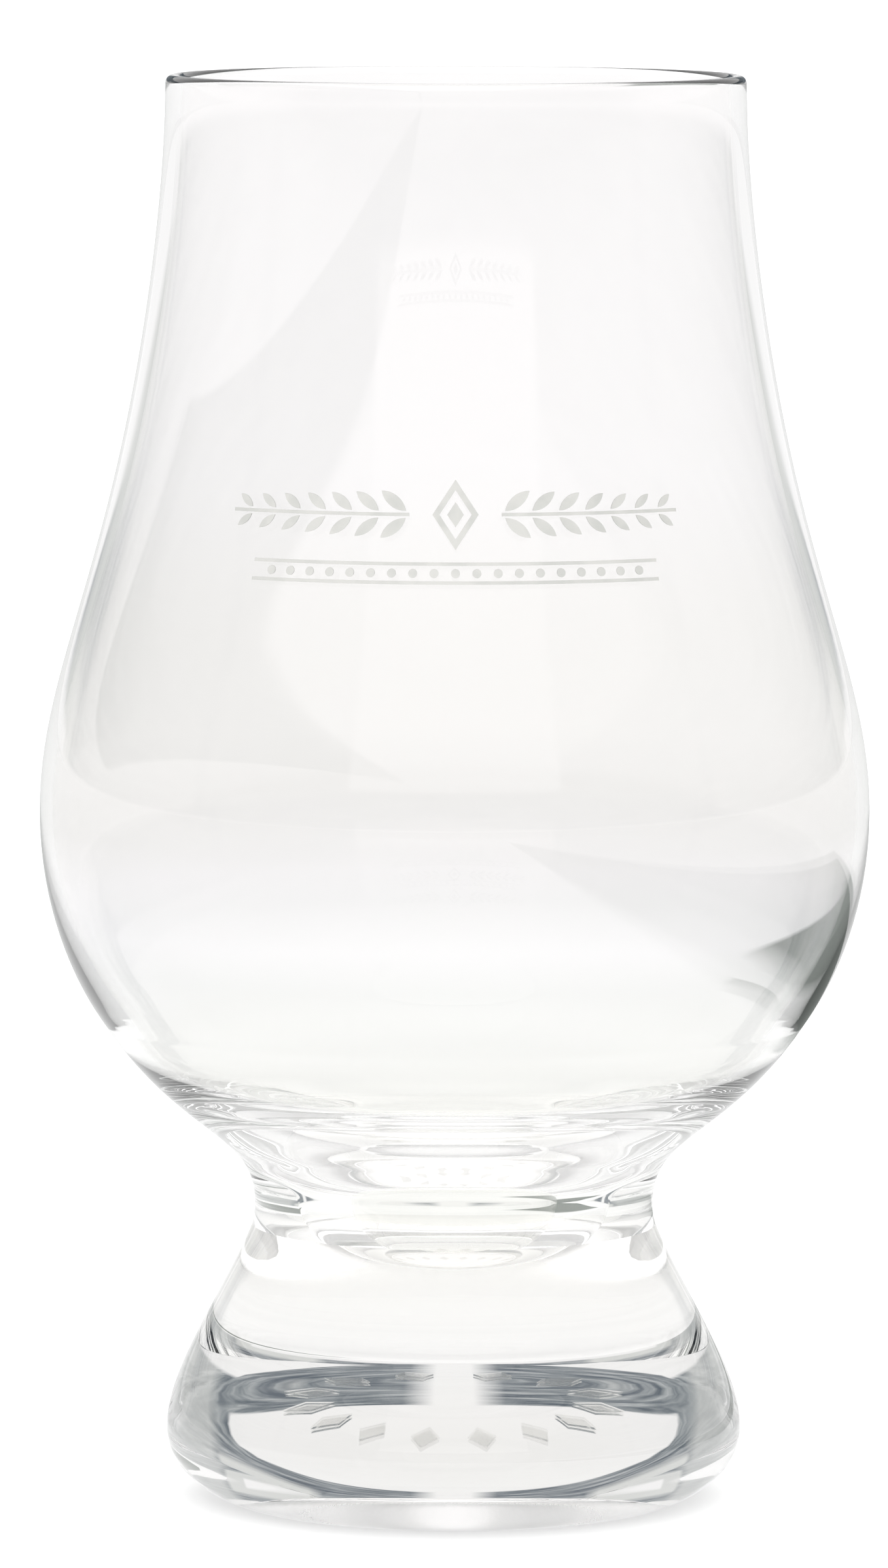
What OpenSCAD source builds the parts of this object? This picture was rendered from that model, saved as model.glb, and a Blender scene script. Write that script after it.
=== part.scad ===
// Whisky nosing glass: a tulip bowl fused to a solid flared foot.
// Millimetres, +Z up, the origin at the middle of the base, on the table.
// The front, with the fired-on print, faces -Y.
//
// Both faces of the wall are chains of smooth curves through named stations.
// A station is [radius, height, lean, share before, share after]. The lean is
// the wall's angle from straight down, outwards positive, and the shares of the
// span set how far each curve follows that lean before it bends away.

/* [Rim] */
// Height of the glass from the table to the top of the rim
rim_h = 115; // [104:0.5:130]
// Outside diameter at the rim
rim_d = 46.6; // [44:0.1:52]
// Thickness of the wall at the rim, which the flame has rounded over
rim_wall = 1.3; // [0.9:0.05:2]

/* [Chimney] */
// Outside diameter halfway down the chimney
chimney_d = 53.8; // [50:0.1:58]
// Height of that place above the table
chimney_h = 85; // [80:0.5:92]
// Lean of the wall there, outwards going down
chimney_lean = 12.4; // [8:0.1:16]
// Thickness of the wall there
chimney_wall = 1.2; // [0.9:0.05:2]

/* [Belly] */
// Outside diameter at the widest part of the bowl
belly_d = 66.9; // [62:0.1:74]
// Height of the widest part above the table
belly_h = 55.8; // [52:0.2:60]
// Thickness of the wall there
belly_wall = 1; // [0.8:0.05:2]

/* [Cup] */
// Outside diameter where the bowl turns in under the belly
cup_d = 57.3; // [54:0.1:60]
// Height of that place above the table
cup_h = 39.2; // [37:0.2:42]
// Lean of the wall there, inwards going down
cup_lean = 33; // [26:0.5:40]
// Thickness of the wall there
cup_wall = 1.5; // [1:0.05:2.5]

/* [Waist] */
// Outside diameter at the narrowest part, between the bowl and the foot
waist_d = 32.2; // [30:0.1:34]
// Height of the narrowest part above the table
waist_h = 23.9; // [23.4:0.1:26]
// Outside diameter at the crease where the bowl is fused to the foot
joint_d = 32.6; // [31:0.1:36]
// Height of the crease above the table
joint_h = 22.3; // [21:0.1:23]

/* [Well] */
// Inside diameter at the mouth of the narrow well, where the cup runs into it
mouth_d = 25; // [20:0.1:30]
// Height of that place above the table
mouth_h = 30.6; // [29.5:0.1:33]
// Lean of the cup's inner face there, inwards going down
mouth_lean = 55; // [40:0.5:65]
// Inside diameter of the well at the waist
well_d = 16.6; // [12:0.1:20]
// Height of that place above the table
well_h = 26; // [25:0.1:28]
// Lean of the well's wall there, inwards going down
well_lean = 4; // [0:0.5:12]
// Height of the middle of the well's floor above the table
floor_h = 17.2; // [15.5:0.1:20]
// Thickness of the bowl's own glass under that floor, above the seam with the foot
floor_wall = 3; // [2:0.1:5]

/* [Foot] */
// Outside diameter at the widest part of the foot
foot_d = 46.5; // [42:0.1:54]
// Height of the widest part above the table
foot_h = 5.8; // [4:0.1:7]
// Lean of the flared side at the crease, outwards going down
flare_lean = 20; // [12:0.5:28]
// Middle diameter of the ring that the glass stands on
ring_d = 34.6; // [34:0.1:38]
// Width of the flat of that ring
ring_w = 0.8; // [0.6:0.1:1.6]

/* [Hollow under the foot] */
// Diameter of the hollow where its steep side turns over into its roof
roof_d = 32.4; // [28:0.1:32.8]
// Height of that place above the table
roof_h = 3.9; // [3:0.1:5]
// Depth of the hollow at its middle
punt_depth = 5.8; // [5.4:0.1:7.5]

/* [Print] */
// Thickness of the fired enamel
print_t = 0.08; // [0.05:0.01:0.2]
// Height of the main row's middle line above the table
print_h = 81.7; // [72:0.1:92]
// Length of one sprig, round the glass from the middle of the print to its tip
sprig_l = 18.6; // [12:0.1:22]
// Height of the lozenge in the middle of the main row
lozenge_h = 5.4; // [3:0.1:8]
// Width of that lozenge
lozenge_w = 3.6; // [2:0.1:5]
// Length of the largest leaf
leaf_l = 2.5; // [1.5:0.05:3.5]
// Width of the largest leaf
leaf_w = 0.9; // [0.5:0.05:1.4]
// Pairs of leaves on a sprig
leaf_pairs = 7; // [3:1:9]
// Thickness of the stems and of the fine rules
stem_w = 0.26; // [0.16:0.02:0.5]
// Distance from the main row's middle line down to that of the beaded row
bead_drop = 4.5; // [4:0.1:8]
// Length of the beaded row, round the glass
bead_row_l = 32; // [16:0.1:40]
// Height of the beaded row over its two rules
bead_row_h = 1.7; // [1.2:0.1:3]
// Diameter of a bead
bead_d = 0.7; // [0.4:0.05:0.9]
// Beads in the row
bead_count = 19; // [7:2:25]

/* [Underside mark] */
// Middle diameter of the ring of lozenges under the foot
mark_d = 16; // [12:0.1:20]
// Length of one of those lozenges, outwards
mark_l = 3; // [1.5:0.1:4]
// Width of one of those lozenges
mark_w = 1.8; // [1:0.1:2.4]
// Lozenges in the ring
mark_count = 14; // [8:1:20]

/* [Hidden] */
$fn = 96;
// Straight steps that draw one curve between two stations
curve_steps = 8;
// Straight steps that draw the rounded lip
lip_steps = 8;
// How far a cutting shape runs past what it cuts
overrun = 2;

// Shares of the span that a curve follows the lean, before and after each station
rim_shares = [0, 0.225];
chimney_shares = [0.398, 0.459];
belly_shares = [0.299, 0.571];
cup_shares = [0.05, 0.587];
waist_shares = [0.311, 0.33];
joint_shares = [0.33, 0.28];
foot_shares = [0.26, 0.51];
ring_shares = [0.12, 0.17];
roof_shares = [0.21, 0.35];
mouth_shares = [0.3, 0.4];
well_shares = [0.4, 0.5];
floor_shares = [0.6, 0];
seam_shares = [0.5, 0.35];
punt_shares = [0.45, 0];

// Lean of the bowl's neck where it meets the foot at the crease
neck_lean = 12;
// Lean of the seam where it leaves the crease, inwards going down
seam_lean = 65;
// Lean of the hollow's side where it leaves the standing ring, inwards and up
punt_lean = 150;
// Lean of the hollow's face where its roof begins
roof_lean = 98;
// Lean of a face that runs straight in towards the middle
level = 90;
// Slant of a leaf from its stem
leaf_slant = 38;
// Gap between the stem and the root of a leaf
leaf_gap = 0.14;
// Where on a sprig its first and last pairs of leaves stand
first_leaf_share = 0.19;
last_leaf_share = 0.89;
// Size of the last pair of leaves beside the first
last_size_share = 0.62;
// Size of the middle lozenge's hollow, and of the core in that hollow
hollow_share = 0.7;
core_share = 0.36;

lip_r = rim_wall / 2;
lip_h = rim_h - lip_r;

// The way that a wall runs when it leans by an angle from straight down
function down(lean) = [sin(lean), -cos(lean)];

// A station, with its pair of shares spread out
function station(radius, height, lean, shares) = [radius, height, lean, shares[0], shares[1]];

// The place at share t of the smooth curve from station a to station b
function along(a, b, t) =
    let (
        start = [a[0], a[1]],
        end = [b[0], b[1]],
        span = norm(end - start),
        leave = start + down(a[2]) * a[4] * span,
        arrive = end - down(b[2]) * b[3] * span,
        s = 1 - t
    )
    start * s * s * s + leave * 3 * s * s * t + arrive * 3 * s * t * t + end * t * t * t;

// The outline through a list of stations, as points
function chain(stations) = [
    for (i = [1:len(stations) - 1])
        for (k = [(i == 1 ? 0 : 1):curve_steps])
            along(stations[i - 1], stations[i], k / curve_steps)
];

// A list the other way round
function back(list) = [for (i = [len(list) - 1:-1:0]) list[i]];

// A list without its first entry
function tail(list) = [for (i = [1:len(list) - 1]) list[i]];

// The level width of a wall that leans
function across(thickness, lean) = thickness / cos(lean);

// The bowl's outer face, from the rim down to the crease
bowl_outside = chain([
    station(rim_d / 2, lip_h, 0, rim_shares),
    station(chimney_d / 2, chimney_h, chimney_lean, chimney_shares),
    station(belly_d / 2, belly_h, 0, belly_shares),
    station(cup_d / 2, cup_h, -cup_lean, cup_shares),
    station(waist_d / 2, waist_h, 0, waist_shares),
    station(joint_d / 2, joint_h, neck_lean, joint_shares)
]);

// The bowl's inner face, from the rim down to the middle of the well's floor
bowl_inside = chain([
    station(rim_d / 2 - rim_wall, lip_h, 0, rim_shares),
    station(chimney_d / 2 - across(chimney_wall, chimney_lean), chimney_h, chimney_lean, chimney_shares),
    station(belly_d / 2 - belly_wall, belly_h, 0, belly_shares),
    station(cup_d / 2 - across(cup_wall, cup_lean), cup_h, -cup_lean, cup_shares),
    station(mouth_d / 2, mouth_h, -mouth_lean, mouth_shares),
    station(well_d / 2, well_h, -well_lean, well_shares),
    station(0, floor_h, -level, floor_shares)
]);

// The seam where the bowl is fused to the foot, from the crease in under the well
seam = chain([
    station(joint_d / 2, joint_h, -seam_lean, seam_shares),
    station(0, floor_h - floor_wall, -level, seam_shares)
]);

// The foot's side, from the crease down to the standing ring
foot_outside = chain([
    station(joint_d / 2, joint_h, flare_lean, joint_shares),
    station(foot_d / 2, foot_h, 0, foot_shares),
    station((ring_d + ring_w) / 2, 0, -level, ring_shares)
]);

// The hollow under the foot, from the standing ring up to its middle
punt = chain([
    station((ring_d - ring_w) / 2, 0, -punt_lean, ring_shares),
    station(roof_d / 2, roof_h, -roof_lean, roof_shares),
    station(0, punt_depth, -level, punt_shares)
]);

// The radius of the bowl's outer face at a height
function bowl_radius(height) = lookup(height, [for (p = bowl_outside) [p[1], p[0]]]);

// The height of the hollow's face at a radius
function punt_height(radius) = lookup(radius, punt);

// Degrees round the glass that a length of print takes
function turn(length) = length / bowl_radius(print_h) * 180 / PI;

// The bowl, turned from its wall's section, with the lip rounded
module bowl() {
    lip = [for (k = [1:lip_steps - 1]) 180 - 180 * k / lip_steps];
    color([0.93, 0.95, 0.94, 0.5])
        rotate_extrude()
            polygon(concat(
                bowl_outside,
                tail(seam),
                back(bowl_inside),
                [for (a = lip) [rim_d / 2 - lip_r, lip_h] + lip_r * [cos(a), sin(a)]]
            ));
}

// The foot, turned from its section
module foot() {
    color([0.86, 0.89, 0.91, 0.5])
        rotate_extrude()
            polygon(concat(foot_outside, punt, back(tail(seam))));
}

// A skin of enamel on the bowl's outer face, between two heights and between
// two lengths round the glass from the middle of its front
module enamel(low, high, from, to) {
    between = [for (p = back(bowl_outside)) if (p[1] > low && p[1] < high) p[1]];
    heights = concat([low], between, [high]);
    rotate([0, 0, turn(from) - 90])
        rotate_extrude(angle = turn(to - from))
            polygon(concat(
                [for (h = heights) [bowl_radius(h), h]],
                [for (h = back(heights)) [bowl_radius(h) + print_t, h]]
            ));
}

// Sends a flat motif out through the bowl's wall, a length round from the front
module on_front(length, height) {
    rotate([0, 0, turn(length)])
        translate([0, overrun - bowl_radius(height), height])
            rotate([90, 0, 0])
                linear_extrude(2 * overrun)
                    children();
}

// A lozenge that stands on its point
module lozenge(width, height) {
    polygon([[width / 2, 0], [0, height / 2], [-width / 2, 0], [0, -height / 2]]);
}

// A pointed leaf that lies along +X from the origin
module leaf(length, width) {
    bow = (length * length + width * width) / (4 * width);
    intersection() {
        translate([length / 2, width / 2 - bow])
            circle(bow);
        translate([length / 2, bow - width / 2])
            circle(bow);
    }
}

// The pairs of leaves of one sprig, towards +X for side 1 and -X for side -1
module leaves(side) {
    root = (stem_w / 2 + leaf_gap) / sin(leaf_slant);
    for (i = [0:leaf_pairs - 1], slant = [-leaf_slant, leaf_slant]) {
        step = i / (leaf_pairs - 1);
        size = 1 + (last_size_share - 1) * step;
        place = first_leaf_share + (last_leaf_share - first_leaf_share) * step;
        on_front(side * sprig_l * place, print_h)
            mirror([side < 0 ? 1 : 0, 0])
                rotate(slant)
                    translate([root, 0])
                        leaf(leaf_l * size, leaf_w * size);
    }
}

// The main row of the print: a lozenge between two leafy sprigs
module front_sprigs() {
    color([0.82, 0.82, 0.8]) {
        for (side = [-1, 1]) {
            ends = [side * lozenge_w, side * sprig_l];
            enamel(print_h - stem_w / 2, print_h + stem_w / 2, min(ends), max(ends));
        }
        intersection() {
            enamel(print_h - lozenge_h, print_h + lozenge_h, -sprig_l - leaf_l, sprig_l + leaf_l);
            union() {
                for (side = [-1, 1])
                    leaves(side);
                on_front(0, print_h)
                    difference() {
                        lozenge(lozenge_w, lozenge_h);
                        lozenge(lozenge_w * hollow_share, lozenge_h * hollow_share);
                    }
                on_front(0, print_h)
                    lozenge(lozenge_w * core_share, lozenge_h * core_share);
            }
        }
    }
}

// The lower row of the print: beads between two fine rules
module front_beads() {
    row_h = print_h - bead_drop;
    pitch = bead_row_l / (bead_count + 1);
    color([0.82, 0.82, 0.8]) {
        for (edge = [-1, 1]) {
            rule_h = row_h + edge * (bead_row_h - stem_w) / 2;
            enamel(rule_h - stem_w / 2, rule_h + stem_w / 2, -bead_row_l / 2, bead_row_l / 2);
        }
        intersection() {
            enamel(row_h - bead_d, row_h + bead_d, -bead_row_l / 2, bead_row_l / 2);
            for (i = [1:bead_count])
                on_front(i * pitch - bead_row_l / 2, row_h)
                    circle(d = bead_d);
        }
    }
}

// The pale mark under the foot: a ring of lozenges on the hollow's face
module base_mark() {
    inner = mark_d / 2 - mark_l;
    outer = mark_d / 2 + mark_l;
    between = [for (p = back(punt)) if (p[0] > inner && p[0] < outer) p[0]];
    radii = concat([inner], between, [outer]);
    color([0.8, 0.81, 0.8])
        intersection() {
            rotate_extrude()
                polygon(concat(
                    [for (r = radii) [r, punt_height(r)]],
                    [for (r = back(radii)) [r, punt_height(r) - print_t]]
                ));
            for (i = [0:mark_count - 1])
                rotate([0, 0, 360 * i / mark_count])
                    translate([mark_d / 2, 0, -overrun])
                        linear_extrude(punt_depth + 2 * overrun)
                            lozenge(mark_l, mark_w);
        }
}

bowl();
foot();
front_sprigs();
front_beads();
base_mark();
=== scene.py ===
"""The looks of a tulip-shaped whisky nosing glass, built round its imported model.

Outlines are written in millimetres in the model's own frame, with +Z up from
the table and the print on the -Y side, and MM turns them into metres. Each
glass piece is half a section that is drawn as one smooth curve and spun.
"""

import logging
import math
from collections.abc import Mapping, Sequence
from dataclasses import dataclass, field
from enum import Enum

import bpy
from mathutils import Matrix, Vector


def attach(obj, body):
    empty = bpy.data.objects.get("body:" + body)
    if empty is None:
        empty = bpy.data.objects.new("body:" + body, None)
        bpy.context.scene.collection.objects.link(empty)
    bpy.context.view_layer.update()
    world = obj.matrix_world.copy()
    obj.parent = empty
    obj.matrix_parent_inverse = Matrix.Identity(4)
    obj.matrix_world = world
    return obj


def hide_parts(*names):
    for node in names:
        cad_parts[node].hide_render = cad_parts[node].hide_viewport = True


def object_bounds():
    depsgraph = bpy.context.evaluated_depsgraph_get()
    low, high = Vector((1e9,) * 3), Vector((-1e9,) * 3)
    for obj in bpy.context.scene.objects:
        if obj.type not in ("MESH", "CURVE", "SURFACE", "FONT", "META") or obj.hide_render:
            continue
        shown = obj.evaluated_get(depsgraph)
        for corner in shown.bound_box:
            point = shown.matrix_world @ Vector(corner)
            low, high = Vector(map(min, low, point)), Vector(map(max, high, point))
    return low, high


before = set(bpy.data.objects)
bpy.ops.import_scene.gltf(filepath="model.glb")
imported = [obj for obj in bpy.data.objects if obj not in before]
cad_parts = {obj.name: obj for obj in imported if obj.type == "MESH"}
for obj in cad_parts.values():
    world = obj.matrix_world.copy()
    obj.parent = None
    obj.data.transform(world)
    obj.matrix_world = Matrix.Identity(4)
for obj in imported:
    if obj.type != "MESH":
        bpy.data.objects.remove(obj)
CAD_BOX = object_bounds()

MM = 0.001
WELD = 0.0005 * MM
LEVEL = 90.0
TURN = 2 * math.pi
CREASE_R = 16.3
CREASE_H = 22.3
WHITE = (1.0, 1.0, 1.0, 1.0)
BOUNCES_THROUGH = 32
BOUNCES_MIRRORED = 16

log = logging.getLogger("nosing_glass")


class Seam(Enum):
    """Which side of the fused seam a piece of glass lies on."""

    ABOVE = -1
    BELOW = 1


def linear(code: str) -> tuple[float, float, float, float]:
    """Turns an sRGB colour into the linear one that shaders take.

    Args:
        code: Six hex digits after a hash sign.

    Returns:
        Red, green, blue and an alpha of 1.
    """
    shares = [int(code[i : i + 2], 16) / 255 for i in (1, 3, 5)]
    red, green, blue = (c / 12.92 if c <= 0.04045 else ((c + 0.055) / 1.055) ** 2.4 for c in shares)
    return red, green, blue, 1.0


def set_stops(colours: bpy.types.ColorRamp, stops: Sequence[tuple[float, str]]) -> None:
    """Sets a colour ramp's stops.

    Args:
        colours: The ramp.
        stops: Places along it, from 0 to 1, each with an sRGB hex colour.
    """
    points = colours.elements
    # Stops are added between the first and the last, and then each gets its place.
    while len(points) < len(stops):
        points.new(points[-1].position / 2)
    for point, (place, code) in zip(points, stops):
        point.position = place
        point.color = linear(code)


def add_node(
    tree: bpy.types.NodeTree,
    kind: str,
    settings: Mapping[int | str, object] | None = None,
    links: Mapping[int | str, bpy.types.NodeSocket] | None = None,
) -> bpy.types.Node:
    """Adds one node with its settings and its links.

    Args:
        tree: The node tree that gets the node.
        kind: The node's type name.
        settings: Properties of the node and values of its sockets, by name or
            number, and under "stops" the stops of a colour ramp.
        links: The output that feeds each input, by the input's name or number.

    Returns:
        The new node.
    """
    node = tree.nodes.new(kind)
    for key, value in (settings or {}).items():
        if key == "stops":
            set_stops(node.color_ramp, value)
        elif isinstance(key, str) and key in node.bl_rna.properties:
            setattr(node, key, value)
        else:
            node.inputs[key].default_value = value
    for key, source in (links or {}).items():
        tree.links.new(source, node.inputs[key])
    return node


def new_material(name: str) -> tuple[bpy.types.Material, bpy.types.NodeTree, bpy.types.Node]:
    """Makes an empty material.

    Args:
        name: The material's name.

    Returns:
        The material, its node tree and its output node.
    """
    material = bpy.data.materials.new(name)
    material.use_nodes = True
    material.node_tree.nodes.clear()
    return material, material.node_tree, add_node(material.node_tree, "ShaderNodeOutputMaterial")


def all_within(
    tree: bpy.types.NodeTree, limits: list[tuple[bpy.types.NodeSocket, float]], soft: float
) -> bpy.types.NodeSocket:
    """Tells where every value stays under its limit.

    Args:
        tree: The node tree.
        limits: Each value with its limit.
        soft: How far on each side of a limit the edge is soft.

    Returns:
        1 where all of them do and 0 where one does not.
    """
    whole = None
    for value, limit in limits:
        ends = {"From Min": limit + soft, "From Max": limit - soft}
        under = add_node(tree, "ShaderNodeMapRange", ends, {"Value": value}).outputs[0]
        if whole is None:
            whole = under
        else:
            both = {0: whole, 1: under}
            whole = add_node(tree, "ShaderNodeMath", {"operation": "MULTIPLY"}, both).outputs[0]
    return whole


@dataclass(frozen=True)
class Crystal:
    """Lead-free crystal, pressed and then fire polished in the flame.

    The eye gets a mirror-smooth skin and a faint tint, which changes a little
    with the height. Each tint stands at its height in millimetres. The changes
    are a fit to the photograph. They are partly the crystal's own faint tint and
    partly painted light and shade: bands that are lighter and darker by height.
    """

    name: str
    tints_and_painted_light: tuple[tuple[float, str], ...]
    ior: float = 1.52
    roughness: float = 0.0

    def make(self) -> bpy.types.Material:
        """Makes the material.

        Returns:
            The new material.
        """
        material, tree, output = new_material(self.name)
        place = add_node(tree, "ShaderNodeTexCoord").outputs["Object"]
        split = add_node(tree, "ShaderNodeSeparateXYZ", links={0: place})
        low, high = self.tints_and_painted_light[0][0], self.tints_and_painted_light[-1][0]
        ends = {"From Min": low * MM, "From Max": high * MM}
        height = add_node(tree, "ShaderNodeMapRange", ends, {"Value": split.outputs["Z"]})
        stops = [((level - low) / (high - low), tint) for level, tint in self.tints_and_painted_light]
        # Painted light and shade: the ramp makes the glass lighter and darker in bands by height, on top of
        # the crystal's own faint tint.
        tint = add_node(tree, "ShaderNodeValToRGB", {"stops": stops}, {"Fac": height.outputs[0]})
        glass = add_node(
            tree,
            "ShaderNodeBsdfPrincipled",
            {"Roughness": self.roughness, "IOR": self.ior, "Transmission Weight": 1.0},
            {"Base Color": tint.outputs["Color"]},
        )
        tree.links.new(glass.outputs[0], output.inputs["Surface"])
        return material


@dataclass(frozen=True)
class PressedSatin:
    """Crystal as the plunger leaves it, where no flame reaches to polish it.

    The eye gets a soft clear skin that blurs what is seen through it.
    """

    name: str = "hollow_side_pressed_satin_crystal"
    tint: str = "#FDFDFD"
    roughness: float = 0.32
    ior: float = 1.52
    grain_mm: float = 0.5
    grain_detail: float = 2.0
    grain_depth_mm: float = 0.02

    def make(self) -> bpy.types.Material:
        """Makes the material.

        Returns:
            The new material.
        """
        material, tree, output = new_material(self.name)
        place = add_node(tree, "ShaderNodeTexCoord").outputs["Object"]
        size = {"Scale": 1 / (self.grain_mm * MM), "Detail": self.grain_detail}
        grain = add_node(tree, "ShaderNodeTexNoise", size, {"Vector": place})
        deep = {"Distance": self.grain_depth_mm * MM}
        skin = add_node(tree, "ShaderNodeBump", deep, {"Height": grain.outputs["Fac"]})
        glass = add_node(
            tree,
            "ShaderNodeBsdfPrincipled",
            {
                "Base Color": linear(self.tint),
                "Roughness": self.roughness,
                "IOR": self.ior,
                "Transmission Weight": 1.0,
            },
            {"Normal": skin.outputs["Normal"]},
        )
        tree.links.new(glass.outputs[0], output.inputs["Surface"])
        return material


@dataclass(frozen=True)
class FusedJoint:
    """Glass melted to glass, where no surface is left for the eye to find."""

    name: str = "fused_joint"

    def make(self) -> bpy.types.Material:
        """Makes the material.

        Returns:
            The new material.
        """
        material, tree, output = new_material(self.name)
        nothing = add_node(tree, "ShaderNodeBsdfPrincipled", {"Alpha": 0.0, "IOR": 1.0})
        tree.links.new(nothing.outputs[0], output.inputs["Surface"])
        return material


@dataclass(frozen=True)
class FiredEnamel:
    """Screen-printed enamel, fired on at a low heat.

    The eye gets a soft pale grey with a satin sheen, cloudy where the layer is
    a little thinner, and a grain of ground glass that shows in close views. An
    enamel that lies inside glass is nearly clear, and its index of refraction
    is then relative to the glass round it, so close to 1.
    """

    name: str
    thin: str
    full: str
    thin_at: float = 0.35
    full_at: float = 0.6
    roughness: float = 0.42
    cloud_mm: float = 2.2
    cloud_detail: float = 3.0
    grain_mm: float = 0.12
    grain_detail: float = 2.0
    grain_depth_mm: float = 0.01
    clear: float = 0.0
    sheen: float = 0.3
    ior: float = 1.5

    def make(self) -> bpy.types.Material:
        """Makes the material.

        Returns:
            The new material.
        """
        material, tree, output = new_material(self.name)
        place = add_node(tree, "ShaderNodeTexCoord").outputs["Object"]
        size = {"Scale": 1 / (self.cloud_mm * MM), "Detail": self.cloud_detail}
        cloud = add_node(tree, "ShaderNodeTexNoise", size, {"Vector": place})
        stops = [(self.thin_at, self.thin), (self.full_at, self.full)]
        colour = add_node(tree, "ShaderNodeValToRGB", {"stops": stops}, {"Fac": cloud.outputs["Fac"]})
        size = {"Scale": 1 / (self.grain_mm * MM), "Detail": self.grain_detail}
        grain = add_node(tree, "ShaderNodeTexNoise", size, {"Vector": place})
        deep = {"Distance": self.grain_depth_mm * MM}
        skin = add_node(tree, "ShaderNodeBump", deep, {"Height": grain.outputs["Fac"]})
        enamel = add_node(
            tree,
            "ShaderNodeBsdfPrincipled",
            {
                "Roughness": self.roughness,
                "IOR": self.ior,
                "Specular IOR Level": self.sheen,
                "Transmission Weight": self.clear,
            },
            {"Base Color": colour.outputs["Color"], "Normal": skin.outputs["Normal"]},
        )
        tree.links.new(enamel.outputs[0], output.inputs["Surface"])
        return material


@dataclass(frozen=True)
class Station:
    """A place that a wall's face runs through, in millimetres and degrees.

    The lean is the face's angle from straight down, outwards positive, and the
    shares of the span say how far the curve follows it before it bends away.
    """

    radius: float
    height: float
    lean: float
    before: float = 0.0
    after: float = 0.0

    @property
    def place(self) -> Vector:
        """The station on the +X side, in metres."""
        return Vector((self.radius, 0, self.height)) * MM

    @property
    def way(self) -> Vector:
        """The direction of the face there."""
        lean = math.radians(self.lean)
        return Vector((math.sin(lean), 0, -math.cos(lean)))


@dataclass(frozen=True)
class Knot:
    """A point of a drawn curve, with its handle on each side, in metres."""

    place: Vector
    before: Vector
    after: Vector


def knots(stations: list[Station]) -> list[Knot]:
    """Turns stations into the points and handles of one smooth curve.

    Args:
        stations: The stations, in the order that the face runs.

    Returns:
        One knot for each station.
    """
    made = []
    for i, here in enumerate(stations):
        back = (here.place - stations[max(i - 1, 0)].place).length
        ahead = (stations[min(i + 1, len(stations) - 1)].place - here.place).length
        before, after = here.way * here.before * back, here.way * here.after * ahead
        made.append(Knot(here.place, here.place - before, here.place + after))
    return made


def turned_back(run: list[Knot]) -> list[Knot]:
    """The same curve, run the other way."""
    return [Knot(k.place, k.after, k.before) for k in reversed(run)]


def joined(*runs: list[Knot]) -> list[Knot]:
    """Joins curves end to end, each starting where the last one ends.

    Args:
        runs: The curves.

    Returns:
        One curve, with a corner where two of them meet.
    """
    whole = list(runs[0])
    for run in runs[1:]:
        whole[-1] = Knot(whole[-1].place, whole[-1].before, run[0].after)
        whole.extend(run[1:])
    return whole


@dataclass
class SpunGlass:
    """A piece of glass that is a half section spun round the glass's axis."""

    name: str
    node: str
    slot: str
    seam: Seam
    finish: Crystal
    curve_steps: int = 20
    spin_steps: int = 192
    smooth_angle: float = 35.0

    def section(self) -> list[Knot]:
        """The half section, from the middle of one face round to the axis again."""
        raise NotImplementedError

    def draw(self) -> bpy.types.Object:
        """Draws the half section as a curve and makes it a chain of edges.

        Returns:
            The new object.
        """
        run = self.section()
        bpy.ops.object.select_all(action="DESELECT")
        bpy.ops.curve.primitive_bezier_curve_add()
        piece = bpy.context.object
        piece.name = piece.data.name = self.name
        piece.data.resolution_u = self.curve_steps
        spline = piece.data.splines[0]
        spline.bezier_points.add(len(run) - len(spline.bezier_points))
        for point, knot in zip(spline.bezier_points, run):
            point.handle_left_type = point.handle_right_type = "FREE"
            point.co = knot.place
            point.handle_left = knot.before
            point.handle_right = knot.after
        bpy.ops.object.convert(target="MESH")
        return bpy.context.object

    def build(self) -> bpy.types.Object:
        """Spins the section into a closed piece with smooth faces.

        Returns:
            The finished piece, undressed.
        """
        piece = self.draw()
        bpy.ops.object.mode_set(mode="EDIT")
        bpy.ops.mesh.select_all(action="SELECT")
        bpy.ops.mesh.spin(steps=self.spin_steps, angle=TURN, center=(0, 0, 0), axis=(0, 0, 1))
        bpy.ops.mesh.select_all(action="SELECT")
        bpy.ops.mesh.remove_doubles(threshold=WELD)
        bpy.ops.mesh.normals_make_consistent(inside=False)
        bpy.ops.object.mode_set(mode="OBJECT")
        bpy.ops.object.shade_smooth_by_angle(angle=math.radians(self.smooth_angle))
        return piece

    def dress(self, piece: bpy.types.Object, joint: bpy.types.Material) -> None:
        """Gives the piece its crystal, and the faces of the seam the fused joint.

        Args:
            piece: The piece that build made.
            joint: The material of the fused joint.
        """
        piece.data.materials.clear()
        piece.data.materials.append(self.finish.make())
        piece.data.materials.append(joint)
        for face in piece.data.polygons:
            middle = face.center
            inside = middle.xy.length < CREASE_R * MM
            if self.seam is Seam.ABOVE:
                fused = inside and middle.z < CREASE_H * MM and face.normal.z < 0
            else:
                fused = inside and face.normal.z > 0
            face.material_index = int(fused)

    def make(self, joint: bpy.types.Material) -> bpy.types.Object:
        """Builds and dresses the piece and sets it on its body.

        Args:
            joint: The material of the fused joint.

        Returns:
            The finished piece.
        """
        piece = self.build()
        self.dress(piece, joint)
        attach(piece, "root")
        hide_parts(self.node)
        return piece


@dataclass
class SeamCurve:
    """The seam where the bowl is fused to the foot, dished down to its middle."""

    crease: Station = Station(CREASE_R, CREASE_H, -65.0, after=0.35)
    middle: Station = Station(0, 14.2, -LEVEL, before=0.5)

    def run(self) -> list[Knot]:
        """The seam, from the crease in to its middle."""
        return knots([self.crease, self.middle])


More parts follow.
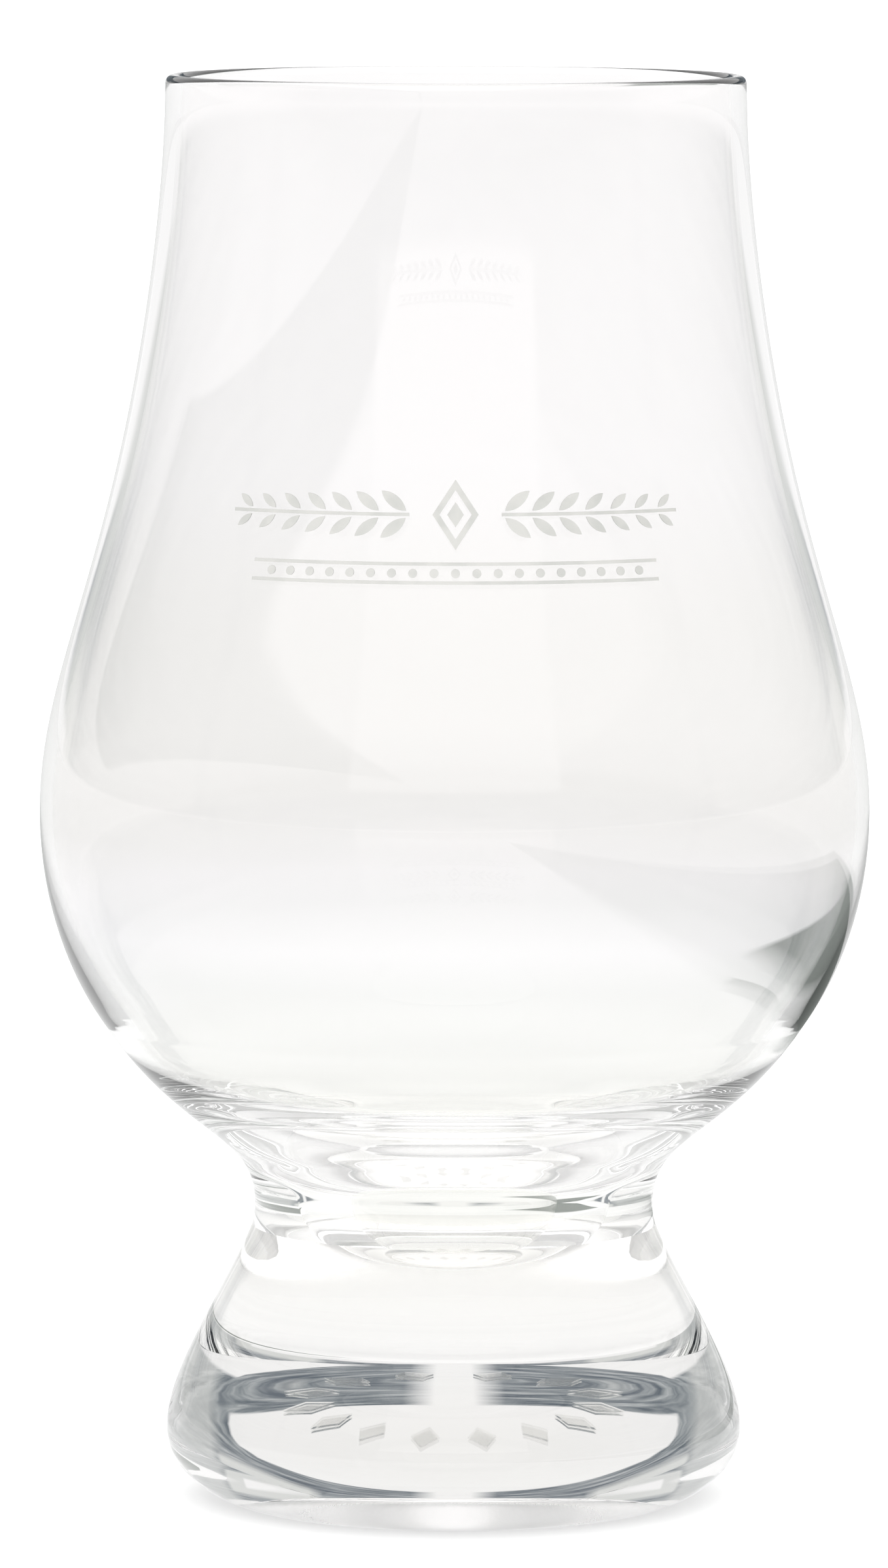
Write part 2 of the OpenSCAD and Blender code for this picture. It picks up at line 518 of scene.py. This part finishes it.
@dataclass
class Bowl(SpunGlass):
    """The tulip: rim, chimney, belly, cup and the narrow well in the neck."""

    outside: list[Station] = field(
        default_factory=lambda: [
            Station(23.3, 114.35, 0, after=0.225),
            Station(26.9, 85, 12.4, 0.398, 0.459),
            Station(33.45, 55.8, 0, 0.299, 0.571),
            Station(28.65, 39.2, -33, 0.05, 0.587),
            Station(16.1, 23.9, 0, 0.311, 0.33),
            Station(CREASE_R, CREASE_H, 12, before=0.33),
        ]
    )
    inside: list[Station] = field(
        default_factory=lambda: [
            Station(22.0, 114.35, 0, after=0.225),
            Station(25.67, 85, 12.4, 0.398, 0.459),
            Station(32.45, 55.8, 0, 0.299, 0.571),
            Station(26.86, 39.2, -33, 0.05, 0.587),
            Station(12.5, 30.6, -55, 0.3, 0.4),
            Station(8.3, 26.0, -4, 0.4, 0.5),
            Station(0, 17.2, -LEVEL, before=0.6),
        ]
    )
    lip_share: float = 0.3905

    def section(self) -> list[Knot]:
        """Joins the seam, the outer face up to the rim, the lip and the inner face.

        Returns:
            The half section.
        """
        outer, inner = self.outside[0], self.inside[0]
        round_over = (outer.radius - inner.radius) / 2
        share = self.lip_share
        top = Station(outer.radius - round_over, outer.height + round_over, LEVEL, share, share)
        up = Station(inner.radius, inner.height, 2 * LEVEL, after=share)
        down = Station(outer.radius, outer.height, 0, before=share)
        return joined(
            turned_back(SeamCurve().run()),
            turned_back(knots(self.outside)),
            turned_back(knots([up, top, down])),
            knots(self.inside),
        )


@dataclass
class Foot(SpunGlass):
    """The solid flared foot, with the hollow under it."""

    outside: list[Station] = field(
        default_factory=lambda: [
            Station(CREASE_R, CREASE_H, 20, after=0.28),
            Station(23.25, 5.8, 0, 0.26, 0.51),
            Station(17.7, 0, -LEVEL, before=0.12),
        ]
    )
    hollow: list[Station] = field(
        default_factory=lambda: [
            Station(16.9, 0, -150, after=0.17),
            Station(16.2, 3.9, -98, 0.21, 0.35),
            Station(0, 5.8, -LEVEL, before=0.45),
        ]
    )
    satin: PressedSatin = PressedSatin()
    satin_share: float = 0.97

    def dress(self, piece: bpy.types.Object, joint: bpy.types.Material) -> None:
        """Dresses the foot, with satin on the hollow's side.

        Args:
            piece: The piece that build made.
            joint: The material of the fused joint.
        """
        super().dress(piece, joint)
        piece.data.materials.append(self.satin.make())
        mouth, turn = self.hollow[0], self.hollow[1]
        for face in piece.data.polygons:
            low = face.center.z < self.satin_share * turn.height * MM
            if low and turn.radius * MM < face.center.xy.length < mouth.radius * MM:
                face.material_index = len(piece.data.materials) - 1

    def section(self) -> list[Knot]:
        """Joins the seam, the flared side, the standing ring and the hollow.

        Returns:
            The half section.
        """
        ring = [self.outside[-1].place, self.hollow[0].place]
        return joined(
            turned_back(SeamCurve().run()),
            knots(self.outside),
            [Knot(place, place, place) for place in ring],
            knots(self.hollow),
        )


@dataclass
class FrontPrint:
    """The fired print on the chimney: a row of sprigs over a row of beads."""

    nodes: tuple[str, ...] = ("front_sprigs", "front_beads")
    enamel: FiredEnamel = FiredEnamel("front_print_fired_enamel", thin="#CFCFCB", full="#DAD9D5")

    def make(self) -> list[bpy.types.Object]:
        """Dresses the print's own solids.

        Returns:
            The dressed pieces.
        """
        material = self.enamel.make()
        pieces = [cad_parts[name] for name in self.nodes]
        for piece in pieces:
            piece.data.materials.clear()
            piece.data.materials.append(material)
        return pieces


@dataclass
class UndersideMark:
    """The ring of pale lozenges just above the hollow's roof, wholly inside the glass.

    On the roof itself total reflection would hide them from the side.
    """

    node: str = "base_mark"
    slot: str = "base_frost"
    count: int = 14
    corners: int = 4
    ring_d: float = 16.0
    length: float = 3.0
    width: float = 1.8
    height: float = 5.34
    thickness: float = 0.1
    tilt: float = -8.0
    enamel: FiredEnamel = FiredEnamel(
        "underside_mark_frosted_enamel", thin="#F6F6F5", full="#FCFCFB", roughness=0.15, clear=0.95, ior=1.03
    )

    def make(self) -> bpy.types.Object:
        """Builds one lozenge, copies it round and dresses the ring.

        Returns:
            The finished piece.
        """
        bpy.ops.object.select_all(action="DESELECT")
        bpy.ops.mesh.primitive_cylinder_add(
            vertices=self.corners, radius=MM / 2, depth=self.thickness * MM
        )
        piece = bpy.context.object
        piece.name = piece.data.name = "underside_mark"
        middle = Vector((self.ring_d / 2, 0, self.height)) * MM
        bpy.ops.object.mode_set(mode="EDIT")
        bpy.ops.mesh.select_all(action="SELECT")
        bpy.ops.transform.resize(value=(self.length, self.width, 1))
        bpy.ops.transform.rotate(
            value=math.radians(self.tilt), orient_axis="Y", orient_type="GLOBAL", center_override=(0, 0, 0)
        )
        bpy.ops.transform.translate(value=middle)
        steps = self.count - 1
        bpy.ops.mesh.spin(
            steps=steps, dupli=True, angle=TURN * steps / self.count, center=(0, 0, 0), axis=(0, 0, 1)
        )
        bpy.ops.mesh.select_all(action="SELECT")
        bpy.ops.mesh.normals_make_consistent(inside=False)
        bpy.ops.object.mode_set(mode="OBJECT")
        piece.data.materials.append(self.enamel.make())
        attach(piece, "root")
        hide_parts(self.node)
        return piece


@dataclass(frozen=True)
class PaleTable:
    """White paper on a darker table, seen whole and white by the lens itself.

    The glass mirrors and bends the paper's near edge and its right-hand edge,
    which runs a little askew, as the photograph's glass does. The paper glows
    more near the foot and most under the hollow: a painted pool of light, which
    stands for the light that the glass gathers. What the skin of the glass
    mirrors of it fades with the distance.
    All its sizes are in metres.
    """

    width: float = 16.0
    paint: str = "#8E938F"
    paper: str = "#F2F2F2"
    lens_glow: float = 0.42
    paper_glow: float = 0.09
    gather_glow: float = 0.38
    gather_in: float = 0.022
    gather_out: float = 0.06
    under_glow: float = 0.75
    under_in: float = 0.015
    under_out: float = 0.019
    near_edge: float = -0.29
    near_soft: float = 0.16
    fade_from: float = 0.12
    fade_to: float = 0.5
    fade_share: float = 0.4
    right_edge: float = 0.082
    askew: float = -0.176
    strip_far: float = 0.27
    strip_back: float = 0.22
    soft: float = 0.004

    def bare_share(
        self,
        tree: bpy.types.NodeTree,
        place: bpy.types.NodeSocket,
        reach: bpy.types.NodeSocket,
        rays: bpy.types.Node,
    ) -> bpy.types.NodeSocket:
        """Tells how much the bare table shows in place of the paper.

        Args:
            tree: The node tree.
            place: The place on the table.
            reach: Its distance from the glass's axis.
            rays: The node that tells the kinds of ray.

        Returns:
            A share from 0 to 1, which is always 0 for the lens.
        """
        split = add_node(tree, "ShaderNodeSeparateXYZ", links={0: place})
        x, y = split.outputs["X"], split.outputs["Y"]
        drift = add_node(tree, "ShaderNodeMath", {"operation": "MULTIPLY", 1: self.askew}, {0: y}).outputs[0]
        left_of = add_node(tree, "ShaderNodeMath", {"operation": "SUBTRACT"}, {0: drift, 1: x}).outputs[0]
        strip = all_within(
            tree, [(left_of, -self.right_edge), (x, self.strip_far), (y, self.strip_back)], self.soft
        )
        near = all_within(tree, [(y, self.near_edge)], self.near_soft)
        mirrored, bent = rays.outputs["Is Glossy Ray"], rays.outputs["Is Transmission Ray"]
        near = add_node(tree, "ShaderNodeMath", {"operation": "MULTIPLY"}, {0: near, 1: mirrored}).outputs[0]
        once = add_node(
            tree, "ShaderNodeMath", {"operation": "SUBTRACT", "use_clamp": True}, {0: mirrored, 1: bent}
        ).outputs[0]
        near = add_node(tree, "ShaderNodeMath", {"operation": "MAXIMUM"}, {0: near, 1: once}).outputs[0]
        ends = {"From Min": self.fade_from, "From Max": self.fade_to, "To Max": self.fade_share}
        fade = add_node(tree, "ShaderNodeMapRange", ends, {"Value": reach}).outputs[0]
        near = add_node(tree, "ShaderNodeMath", {"operation": "MULTIPLY"}, {0: near, 1: fade}).outputs[0]
        bare = add_node(tree, "ShaderNodeMath", {"operation": "MAXIMUM"}, {0: strip, 1: near}).outputs[0]
        seen = rays.outputs["Is Camera Ray"]
        unseen = add_node(tree, "ShaderNodeMath", {"operation": "SUBTRACT", 0: 1.0}, {1: seen}).outputs[0]
        return add_node(tree, "ShaderNodeMath", {"operation": "MULTIPLY"}, {0: bare, 1: unseen}).outputs[0]

    def glow_level(
        self,
        tree: bpy.types.NodeTree,
        reach: bpy.types.NodeSocket,
        bare: bpy.types.NodeSocket,
        rays: bpy.types.Node,
    ) -> bpy.types.NodeSocket:
        """Tells how strongly the paper glows for the lens and for the glass.

        Args:
            tree: The node tree.
            reach: The distance from the glass's axis.
            bare: The share of the bare table, which does not glow.
            rays: The node that tells the kinds of ray.

        Returns:
            The strength of the glow.
        """
        # Painted light: near the foot, and most under the hollow, the paper glows for the glass, a pool of
        # light that no lamp casts.
        ends = {
            "From Min": self.gather_in,
            "From Max": self.gather_out,
            "To Min": self.gather_glow,
            "To Max": self.paper_glow,
        }
        gathered = add_node(tree, "ShaderNodeMapRange", ends, {"Value": reach}).outputs[0]
        ends = {"From Min": self.under_in, "From Max": self.under_out, "To Min": self.under_glow}
        gathered = add_node(
            tree, "ShaderNodeMapRange", ends, {"Value": reach, "To Max": gathered}
        ).outputs[0]
        level = add_node(
            tree, "ShaderNodeMapRange", {"To Max": 0.0}, {"Value": bare, "To Min": gathered}
        ).outputs[0]
        kinds = {0: rays.outputs["Is Glossy Ray"], 1: rays.outputs["Is Transmission Ray"]}
        glass = add_node(tree, "ShaderNodeMath", {"operation": "MAXIMUM"}, kinds).outputs[0]
        level = add_node(tree, "ShaderNodeMath", {"operation": "MULTIPLY"}, {0: level, 1: glass}).outputs[0]
        share = {"operation": "MULTIPLY", 1: self.lens_glow}
        direct = add_node(tree, "ShaderNodeMath", share, {0: rays.outputs["Is Camera Ray"]}).outputs[0]
        return add_node(tree, "ShaderNodeMath", {"operation": "ADD"}, {0: level, 1: direct}).outputs[0]

    def make(self) -> bpy.types.Object:
        """Adds the table top as one large plane.

        Returns:
            The table.
        """
        bpy.ops.object.select_all(action="DESELECT")
        bpy.ops.mesh.primitive_plane_add(size=self.width)
        table = bpy.context.object
        table.name = "pale_table"
        material, tree, output = new_material("pale_table_under_matt_paper")
        place = add_node(tree, "ShaderNodeTexCoord").outputs["Object"]
        reach = add_node(tree, "ShaderNodeVectorMath", {"operation": "LENGTH"}, {0: place}).outputs["Value"]
        rays = add_node(tree, "ShaderNodeLightPath")
        bare = self.bare_share(tree, place, reach, rays)
        tones = {"data_type": "RGBA", 6: linear(self.paper), 7: linear(self.paint)}
        colour = add_node(tree, "ShaderNodeMix", tones, {0: bare}).outputs[2]
        level = self.glow_level(tree, reach, bare, rays)
        glow = add_node(tree, "ShaderNodeEmission", links={"Strength": level})
        matt = add_node(tree, "ShaderNodeBsdfDiffuse", links={"Color": colour})
        both = add_node(tree, "ShaderNodeAddShader", links={0: matt.outputs[0], 1: glow.outputs[0]})
        tree.links.new(both.outputs[0], output.inputs["Surface"])
        table.data.materials.append(material)
        return table


@dataclass(frozen=True)
class Bearings:
    """Where a ray of the world's shader goes, as sockets.

    The angles are the height over the table, the way round from straight behind
    the glass to the right, and how far to either side of straight behind the
    glass and of the camera.
    """

    x: bpy.types.NodeSocket
    y: bpy.types.NodeSocket
    z: bpy.types.NodeSocket
    height: bpy.types.NodeSocket
    azimuth: bpy.types.NodeSocket
    off_far: bpy.types.NodeSocket
    off_near: bpy.types.NodeSocket

    @classmethod
    def of(cls, tree: bpy.types.NodeTree) -> "Bearings":
        """Adds the nodes that work them out.

        Args:
            tree: The world's node tree.

        Returns:
            The bearings.
        """
        way = add_node(tree, "ShaderNodeTexCoord").outputs["Generated"]
        x, y, z = add_node(tree, "ShaderNodeSeparateXYZ", links={0: way}).outputs
        height = add_node(tree, "ShaderNodeMath", {"operation": "ARCSINE"}, {0: z}).outputs[0]
        azimuth = add_node(tree, "ShaderNodeMath", {"operation": "ARCTAN2"}, {0: x, 1: y}).outputs[0]
        off_far = add_node(tree, "ShaderNodeMath", {"operation": "ABSOLUTE"}, {0: azimuth}).outputs[0]
        rest = {"operation": "SUBTRACT", 0: math.pi}
        off_near = add_node(tree, "ShaderNodeMath", rest, {1: off_far}).outputs[0]
        return cls(x, y, z, height, azimuth, off_far, off_near)


@dataclass(frozen=True)
class Studio:
    """The room round the glass, laid out by direction from the glass.

    A light panel is overhead, wider at its far end, with its reach in shares of
    its height over the table. It is brighter overhead, and dimmer low towards
    the camera. White paper rises a little behind the table, a narrow lit card
    stands there, and a wide one stands behind the camera. The walls at the
    sides and behind the camera are pale, and so is a low strip between the
    paper and the side walls. The rest of the room is darker and streaky. All
    angles are in degrees.
    """

    side_reach: float = 2.33
    side_slant: float = 0.237
    near_reach: float = 3.15
    far_reach: float = 4.9
    panel_soft: float = 0.08
    least_rise: float = 0.001
    low_level: float = 0.96
    low_height: float = 30.0
    high_level: float = 1.35
    high_height: float = 75.0
    dim_side: float = 75.0
    dim_top: float = 36.0
    dim_soft: float = 8.0
    dim_share: float = 0.5
    paper_side: float = 36.0
    paper_top: float = 1.4
    far_card: float = 4.0
    far_card_soft: float = 1.8
    near_card: float = 30.0
    near_card_foot: float = 10.0
    card_soft: float = 0.4
    side_wall: tuple[float, float] = (42.0, 104.0)
    side_wall_top: float = 26.0
    near_wall: float = 76.0
    wall_soft: float = 2.4
    wall_pale: str = "#DADCDA"
    wall_share: float = 0.66
    strip_side: float = 20.0
    strip_top: float = 5.0
    strip_soft: float = 1.2
    streak_wide: float = 14.0
    streak_high: float = 0.9
    streak_detail: float = 3.0
    streak_rough: float = 0.6
    streak_tones: tuple[tuple[float, str], ...] = ((0.36, "#4A5663"), (0.52, "#8A9196"), (0.68, "#BEC2C4"))

    def panel(self, tree: bpy.types.NodeTree, way: Bearings) -> bpy.types.NodeSocket:
        """Tells how much of the overhead panel's light comes from a direction.

        Args:
            tree: The world's node tree.
            way: The direction.

        Returns:
            A share from 0 to 1, lower where the panel is dimmer.
        """
        rise = {"operation": "MAXIMUM", 1: self.least_rise}
        up = add_node(tree, "ShaderNodeMath", rise, {0: way.z}).outputs[0]
        side = add_node(tree, "ShaderNodeMath", {"operation": "ABSOLUTE"}, {0: way.x}).outputs[0]
        side = add_node(tree, "ShaderNodeMath", {"operation": "DIVIDE"}, {0: side, 1: up}).outputs[0]
        far = add_node(tree, "ShaderNodeMath", {"operation": "DIVIDE"}, {0: way.y, 1: up}).outputs[0]
        near = add_node(tree, "ShaderNodeMath", {"operation": "MULTIPLY", 1: -1.0}, {0: far}).outputs[0]
        slant = {"operation": "MULTIPLY_ADD", 1: self.side_slant}
        side = add_node(tree, "ShaderNodeMath", slant, {0: near, 2: side}).outputs[0]
        panel = all_within(
            tree, [(side, self.side_reach), (far, self.far_reach), (near, self.near_reach)], self.panel_soft
        )
        dimmer = all_within(
            tree,
            [(way.off_near, math.radians(self.dim_side)), (way.height, math.radians(self.dim_top))],
            math.radians(self.dim_soft),
        )
        dimmer = add_node(tree, "ShaderNodeMath", {"operation": "MULTIPLY"}, {0: dimmer, 1: panel}).outputs[0]
        less = {"operation": "MULTIPLY_ADD", 1: -self.dim_share}
        return add_node(tree, "ShaderNodeMath", less, {0: dimmer, 2: panel}).outputs[0]

    def lit_share(self, tree: bpy.types.NodeTree, way: Bearings) -> bpy.types.NodeSocket:
        """Tells where the panel, the paper, the cards and the table's white are.

        Args:
            tree: The world's node tree.
            way: The direction.

        Returns:
            1 where the room is lit and 0 where its walls show.
        """
        soft = math.radians(self.card_soft)
        turned = {"operation": "MULTIPLY", 1: -1.0}
        depth = add_node(tree, "ShaderNodeMath", turned, {0: way.height}).outputs[0]
        lit = self.panel(tree, way)
        paper = all_within(
            tree,
            [(way.off_far, math.radians(self.paper_side)), (way.height, math.radians(self.paper_top))],
            soft,
        )
        far_card = all_within(
            tree, [(way.off_far, math.radians(self.far_card))], math.radians(self.far_card_soft)
        )
        near_card = all_within(
            tree,
            [(way.off_near, math.radians(self.near_card)), (depth, -math.radians(self.near_card_foot))],
            soft,
        )
        under = all_within(tree, [(way.height, 0.0)], soft)
        for part in (paper, far_card, near_card, under):
            lit = add_node(tree, "ShaderNodeMath", {"operation": "MAXIMUM"}, {0: lit, 1: part}).outputs[0]
        return lit

    def walls(self, tree: bpy.types.NodeTree, way: Bearings) -> bpy.types.NodeSocket:
        """Colours the room where nothing is lit: streaks, pale walls and the low strip.

        Args:
            tree: The world's node tree.
            way: The direction.

        Returns:
            The colour.
        """
        band = add_node(tree, "ShaderNodeCombineXYZ", links={"X": way.azimuth, "Y": way.height}).outputs[0]
        scale = (1 / math.radians(self.streak_wide), 1 / math.radians(self.streak_high), 1)
        stretched = add_node(tree, "ShaderNodeMapping", {"Scale": scale}, {"Vector": band}).outputs[0]
        grain = {"Scale": 1.0, "Detail": self.streak_detail, "Roughness": self.streak_rough}
        streaks = add_node(tree, "ShaderNodeTexNoise", grain, {"Vector": stretched}).outputs["Fac"]
        room = add_node(tree, "ShaderNodeValToRGB", {"stops": self.streak_tones}, {"Fac": streaks})
        closer = {0: way.off_far}
        closer = add_node(tree, "ShaderNodeMath", {"operation": "MULTIPLY", 1: -1.0}, closer).outputs[0]
        first, last = (math.radians(angle) for angle in self.side_wall)
        wall_soft = math.radians(self.wall_soft)
        beside = all_within(
            tree,
            [(closer, -first), (way.off_far, last), (way.height, math.radians(self.side_wall_top))],
            wall_soft,
        )
        facing = all_within(tree, [(way.off_near, math.radians(self.near_wall))], wall_soft)
        strip = all_within(
            tree,
            [
                (closer, -math.radians(self.strip_side)),
                (way.off_far, first),
                (way.height, math.radians(self.strip_top)),
            ],
            math.radians(self.strip_soft),
        )
        pale = add_node(tree, "ShaderNodeMath", {"operation": "MAXIMUM"}, {0: beside, 1: facing}).outputs[0]
        part = {"operation": "MULTIPLY", 1: self.wall_share}
        pale = add_node(tree, "ShaderNodeMath", part, {0: pale}).outputs[0]
        pale = add_node(tree, "ShaderNodeMath", {"operation": "MAXIMUM"}, {0: pale, 1: strip}).outputs[0]
        tones = {"data_type": "RGBA", 7: linear(self.wall_pale)}
        return add_node(tree, "ShaderNodeMix", tones, {0: pale, 6: room.outputs["Color"]}).outputs[2]

    def make(self) -> bpy.types.World:
        """Builds the world's shader, which the lens itself sees as plain white.

        Returns:
            The world.
        """
        world = bpy.data.worlds.new("studio")
        bpy.context.scene.world = world
        world.use_nodes = True
        tree = world.node_tree
        tree.nodes.clear()
        way = Bearings.of(tree)
        ends = {
            "From Min": math.radians(self.low_height),
            "From Max": math.radians(self.high_height),
            "To Min": self.low_level,
            "To Max": self.high_level,
        }
        level = add_node(tree, "ShaderNodeMapRange", ends, {"Value": way.height}).outputs[0]
        light = add_node(tree, "ShaderNodeCombineColor", links={i: level for i in range(3)}).outputs[0]
        lit, walls = self.lit_share(tree, way), self.walls(tree, way)
        room = add_node(
            tree, "ShaderNodeMix", {"data_type": "RGBA"}, {0: lit, 6: walls, 7: light}
        ).outputs[2]
        rays = add_node(tree, "ShaderNodeLightPath")
        white = {"data_type": "RGBA", 7: WHITE}
        view = add_node(tree, "ShaderNodeMix", white, {0: rays.outputs["Is Camera Ray"], 6: room}).outputs[2]
        glow = add_node(tree, "ShaderNodeBackground", links={"Color": view})
        output = add_node(tree, "ShaderNodeOutputWorld")
        tree.links.new(glow.outputs[0], output.inputs["Surface"])
        return world


@dataclass(frozen=True)
class FillLamp:
    """A soft lamp in front that lights the print and is not mirrored in the glass.

    Its size and its place are in metres, and its power is in watts.
    """

    power: float = 5.0
    size: float = 1.2
    distance: float = 1.3
    height: float = 0.5

    def make(self) -> bpy.types.Object:
        """Adds the lamp, aimed at the print.

        Returns:
            The lamp.
        """
        place = Vector((0, -self.distance, self.height))
        aim = Vector((0, 0, CAD_BOX[1].z / 2)) - place
        turn = aim.to_track_quat("-Z", "Y").to_euler()
        bpy.ops.object.light_add(type="AREA", location=place, rotation=turn)
        lamp = bpy.context.object
        lamp.name = "fill_lamp"
        lamp.data.energy = self.power
        lamp.data.size = self.size
        lamp.visible_glossy = lamp.visible_transmission = lamp.visible_camera = False
        return lamp


@dataclass(frozen=True)
class PhotoCamera:
    """The photograph's camera, as fitted to the rim, the foot and the outline."""

    distance_mm: float = 850.0
    height_mm: float = 141.92
    pitch: float = 5.644
    roll: float = 0.105
    frame_h_px: float = 2395.0
    focal_px: float = 16186.4
    axis_right_px: float = 16.4
    sensor_mm: float = 36.0
    sight_end_m: float = 100.0

    def make(self) -> bpy.types.Object:
        """Adds the camera and makes it the scene's own.

        Returns:
            The camera.
        """
        left = self.axis_right_px / self.focal_px * self.distance_mm
        bpy.ops.object.camera_add()
        camera = bpy.context.object
        camera.name = "photo_camera"
        camera.data.sensor_fit = "VERTICAL"
        camera.data.sensor_height = self.sensor_mm
        camera.data.lens = self.focal_px / self.frame_h_px * self.sensor_mm
        camera.data.clip_end = self.sight_end_m
        camera.matrix_world = (
            Matrix.Translation(Vector((-left, -self.distance_mm, self.height_mm)) * MM)
            @ Matrix.Rotation(math.radians(LEVEL - self.pitch), 4, "X")
            @ Matrix.Rotation(math.radians(self.roll), 4, "Z")
        )
        bpy.context.scene.camera = camera
        return camera


def set_view() -> None:
    """Sets the view transform, and bounces enough for light to cross the thick glass."""
    scene = bpy.context.scene
    scene.view_settings.view_transform = "Standard"
    scene.cycles.max_bounces = BOUNCES_THROUGH
    scene.cycles.transmission_bounces = BOUNCES_THROUGH
    scene.cycles.glossy_bounces = BOUNCES_MIRRORED
    scene.cycles.transparent_max_bounces = BOUNCES_THROUGH


def main() -> None:
    """Builds the glass and its studio, one piece after another."""
    logging.basicConfig(level=logging.INFO, format="%(message)s")
    joint = FusedJoint().make()
    bowl = Bowl(
        name="bowl_crystal",
        node="bowl",
        slot="bowl_crystal",
        seam=Seam.ABOVE,
        finish=Crystal(
            "bowl_fire_polished_crystal",
            # Painted light and shade as well as tint: these stops make bands of the bowl lighter and darker
            # by height.
            tints_and_painted_light=(
                (28.0, "#FCFCFA"),
                (32.0, "#FDFDFB"),
                (36.0, "#F9F9F7"),
                (40.0, "#FBFBFA"),
                (44.5, "#F6F6F6"),
                (47.5, "#FAF9FA"),
                (50.5, "#F9F8F8"),
                (55.0, "#F6F5F4"),
                (60.0, "#FAF9F8"),
                (72.0, "#FBFAF9"),
                (82.0, "#FDFCFC"),
            ),
        ),
    )
    foot = Foot(
        name="foot_crystal",
        node="foot",
        slot="foot_crystal",
        seam=Seam.BELOW,
        finish=Crystal(
            "foot_fire_polished_crystal",
            # Painted shade as well as tint: the foot's crystal is darker towards the top.
            tints_and_painted_light=((0.0, "#F8F7F8"), (22.0, "#F3F2ED")),
        ),
    )
    for glass in (bowl, foot):
        piece = glass.make(joint)
        log.info("%s: %d faces", piece.name, len(piece.data.polygons))
    for piece in (*FrontPrint().make(), UndersideMark().make()):
        log.info("%s: dressed", piece.name)
    for part in (PaleTable().make(), Studio().make(), FillLamp().make(), PhotoCamera().make()):
        log.info("%s: placed", part.name)
    set_view()


if __name__ == "__main__":
    main()
